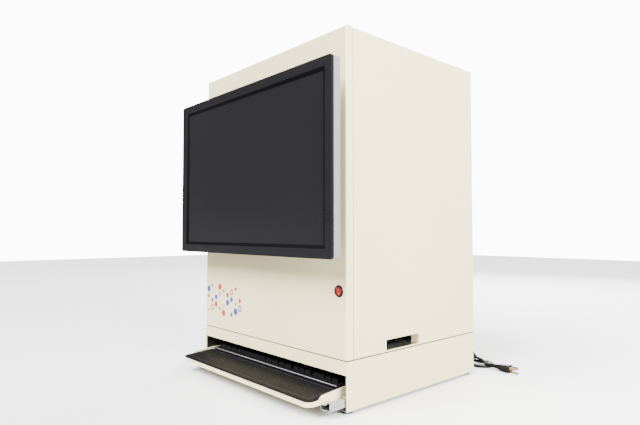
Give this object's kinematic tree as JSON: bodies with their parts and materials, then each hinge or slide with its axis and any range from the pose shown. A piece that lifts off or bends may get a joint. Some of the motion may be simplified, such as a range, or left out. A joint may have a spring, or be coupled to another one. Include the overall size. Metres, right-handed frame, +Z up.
{
  "type": "elispot analyzer",
  "caption": "Bench plate analyzer: tall sheet-steel cabinet with a flat monitor on the front, plate slot in the side and a sliding keyboard drawer in its plinth.",
  "frame": {"origin": "on the table under the middle of the cabinet, its monitor and its part-open drawer", "axes": "+X to the right seen from the front, +Y to the rear, +Z up"},
  "size_m": [0.614, 0.6241, 0.732],
  "materials": {
    "enclosure_paint": "smooth satin warm white powder coat",
    "inner_steel": "plain zinc-plated sheet",
    "rubber_dark": "matt moulded rubber",
    "foam_dark": "closed-cell foam strip",
    "black_plastic": "fine-textured moulded plastic",
    "bezel_plastic": "satin dark grey moulding",
    "silver_plastic": "silver-painted moulding",
    "screen_glass": "dark anti-glare panel",
    "switch_black": "polished moulding",
    "rocker_red": "translucent red lens",
    "zinc_steel": "bright zinc-plated steel",
    "tray_paint": "smooth satin warm white powder coat",
    "palm_pad": "soft black leatherette over foam",
    "key_plastic": "fine matt key caps",
    "computer_paint": "black powder coat",
    "fan_plastic": "glass-filled black moulding",
    "guard_chrome": "plated wire",
    "cord_pvc": "satin black flexible PVC",
    "tie_grey": "grey strap",
    "blade_brass": "plain contact brass",
    "rail_steel": "ground bearing steel",
    "stage_aluminium": "clear anodised",
    "black_anodised": "black anodised",
    "screw_steel": "ground screw",
    "light_white": "white ring light housing",
    "screw_zinc": "zinc-plated screw heads"
  },
  "bodies": {
    "cabinet": {"base_shell": "enclosure_paint", "base_floor": "inner_steel", "base_feet": "rubber_dark", "seam_gasket": "foam_dark", "deck_plate": "inner_steel", "chassis_posts": "inner_steel", "computer_shelf": "inner_steel", "cover_wrap": "enclosure_paint", "front_panel": "enclosure_paint", "rear_panel": "enclosure_paint", "plate_slot_frame": "enclosure_paint", "panel_screws": "screw_zinc", "vesa_plate": "black_plastic", "monitor_case": "silver_plastic", "monitor_bezel": "bezel_plastic", "monitor_screen": "screen_glass", "switch_housing": "switch_black", "slide_outer_left": "zinc_steel", "slide_outer_right": "zinc_steel", "computer_case": "computer_paint", "power_supply": "stage_aluminium", "fan_frame": "fan_plastic", "fan_guard": "guard_chrome", "power_inlet": "black_plastic", "cord_connector": "cord_pvc", "cord_tube": "cord_pvc", "cord_hank": "cord_pvc", "cord_tie": "tie_grey", "mains_plug": "cord_pvc", "plug_blades": "blade_brass", "linear_rails": "rail_steel", "stage_motors": "black_anodised", "optics_stand": "stage_aluminium"},
    "rocker": {"power_rocker": "rocker_red"},
    "power_button": {"monitor_power_button": "bezel_plastic"},
    "menu_button": {"monitor_menu_button": "bezel_plastic"},
    "slide_left": {"slide_middle_left": "zinc_steel"},
    "slide_right": {"slide_middle_right": "zinc_steel"},
    "drawer": {"drawer_tray": "tray_paint", "palm_rest": "palm_pad", "keyboard_case": "black_plastic", "slide_inner_left": "zinc_steel", "slide_inner_right": "zinc_steel"},
    "keys_space": {"key_row_space": "key_plastic"},
    "keys_shift": {"key_row_shift": "key_plastic"},
    "keys_home": {"key_row_home": "key_plastic"},
    "keys_tab": {"key_row_tab": "key_plastic"},
    "keys_number": {"key_row_number": "key_plastic"},
    "keys_function": {"key_row_function": "key_plastic"},
    "carrier": {"plate_carrier": "stage_aluminium"},
    "carrier_screw": {"stage_screw": "screw_steel"},
    "camera_carriage": {"cross_carriage": "stage_aluminium", "focus_motor": "black_anodised"},
    "camera_screw": {"cross_screw": "screw_steel"},
    "camera_head": {"focus_slide": "black_anodised", "camera_body": "black_anodised", "zoom_lens": "black_anodised", "ring_light": "light_white"},
    "rotor": {"fan_rotor": "fan_plastic"}
  },
  "joints": [
    {"name": "drawer_slide", "type": "slide", "parent": "cabinet", "child": "drawer", "axis": [0, -1, 0], "range_m": [-0.084, 0.146]},
    {"name": "slide_left_travel", "type": "slide", "parent": "cabinet", "child": "slide_left", "axis": [0, -1, 0], "range_m": [-0.042, 0.073]},
    {"name": "slide_right_travel", "type": "slide", "parent": "cabinet", "child": "slide_right", "axis": [0, -1, 0], "range_m": [-0.042, 0.073]},
    {"name": "rocker_tilt", "type": "hinge", "parent": "cabinet", "child": "rocker", "pos_m": [0.2369, -0.1778, 0.227], "axis": [1, 0, 0], "range_deg": [-16, 0]},
    {"name": "power_button_press", "type": "slide", "parent": "cabinet", "child": "power_button", "axis": [0, 1, 0], "range_m": [0, 0.001], "stiffness_N_per_m": 800},
    {"name": "menu_button_press", "type": "slide", "parent": "cabinet", "child": "menu_button", "axis": [0, 1, 0], "range_m": [0, 0.001], "stiffness_N_per_m": 800},
    {"name": "keys_space_press", "type": "slide", "parent": "drawer", "child": "keys_space", "axis": [0, 0.1045, -0.9945], "range_m": [0, 0.0035], "stiffness_N_per_m": 700, "springref_m": -0.0015},
    {"name": "keys_shift_press", "type": "slide", "parent": "drawer", "child": "keys_shift", "axis": [0, 0.1045, -0.9945], "range_m": [0, 0.0035], "stiffness_N_per_m": 700, "springref_m": -0.0015},
    {"name": "keys_home_press", "type": "slide", "parent": "drawer", "child": "keys_home", "axis": [0, 0.1045, -0.9945], "range_m": [0, 0.0035], "stiffness_N_per_m": 700, "springref_m": -0.0015},
    {"name": "keys_tab_press", "type": "slide", "parent": "drawer", "child": "keys_tab", "axis": [0, 0.1045, -0.9945], "range_m": [0, 0.0035], "stiffness_N_per_m": 700, "springref_m": -0.0015},
    {"name": "keys_number_press", "type": "slide", "parent": "drawer", "child": "keys_number", "axis": [0, 0.1045, -0.9945], "range_m": [0, 0.0035], "stiffness_N_per_m": 700, "springref_m": -0.0015},
    {"name": "keys_function_press", "type": "slide", "parent": "drawer", "child": "keys_function", "axis": [0, 0.1045, -0.9945], "range_m": [0, 0.0035], "stiffness_N_per_m": 700, "springref_m": -0.0015},
    {"name": "plate_travel", "type": "slide", "parent": "cabinet", "child": "carrier", "axis": [1, 0, 0], "range_m": [0, 0.266]},
    {"name": "plate_screw_turn", "type": "hinge", "parent": "cabinet", "child": "carrier_screw", "pos_m": [0, 0.0808, 0.1355], "axis": [1, 0, 0], "continuous": true},
    {"name": "camera_travel", "type": "slide", "parent": "cabinet", "child": "camera_carriage", "axis": [0, 1, 0], "range_m": [-0.035, 0.035]},
    {"name": "camera_screw_turn", "type": "hinge", "parent": "cabinet", "child": "camera_screw", "pos_m": [-0.042, 0, 0.218], "axis": [0, 1, 0], "continuous": true},
    {"name": "focus_travel", "type": "slide", "parent": "camera_carriage", "child": "camera_head", "axis": [0, 0, 1], "range_m": [-0.008, 0.008]},
    {"name": "fan_spin", "type": "hinge", "parent": "cabinet", "child": "rotor", "pos_m": [-0.15, 0.2373, 0.306], "axis": [0, 1, 0], "continuous": true}
  ],
  "couplings": [
    {"joint": "slide_left_travel", "follows": "drawer_slide", "ratio": 0.5},
    {"joint": "slide_right_travel", "follows": "drawer_slide", "ratio": 0.5},
    {"joint": "plate_screw_turn", "follows": "plate_travel", "rad_per_m": 628.32},
    {"joint": "camera_screw_turn", "follows": "camera_travel", "rad_per_m": 628.32}
  ]
}
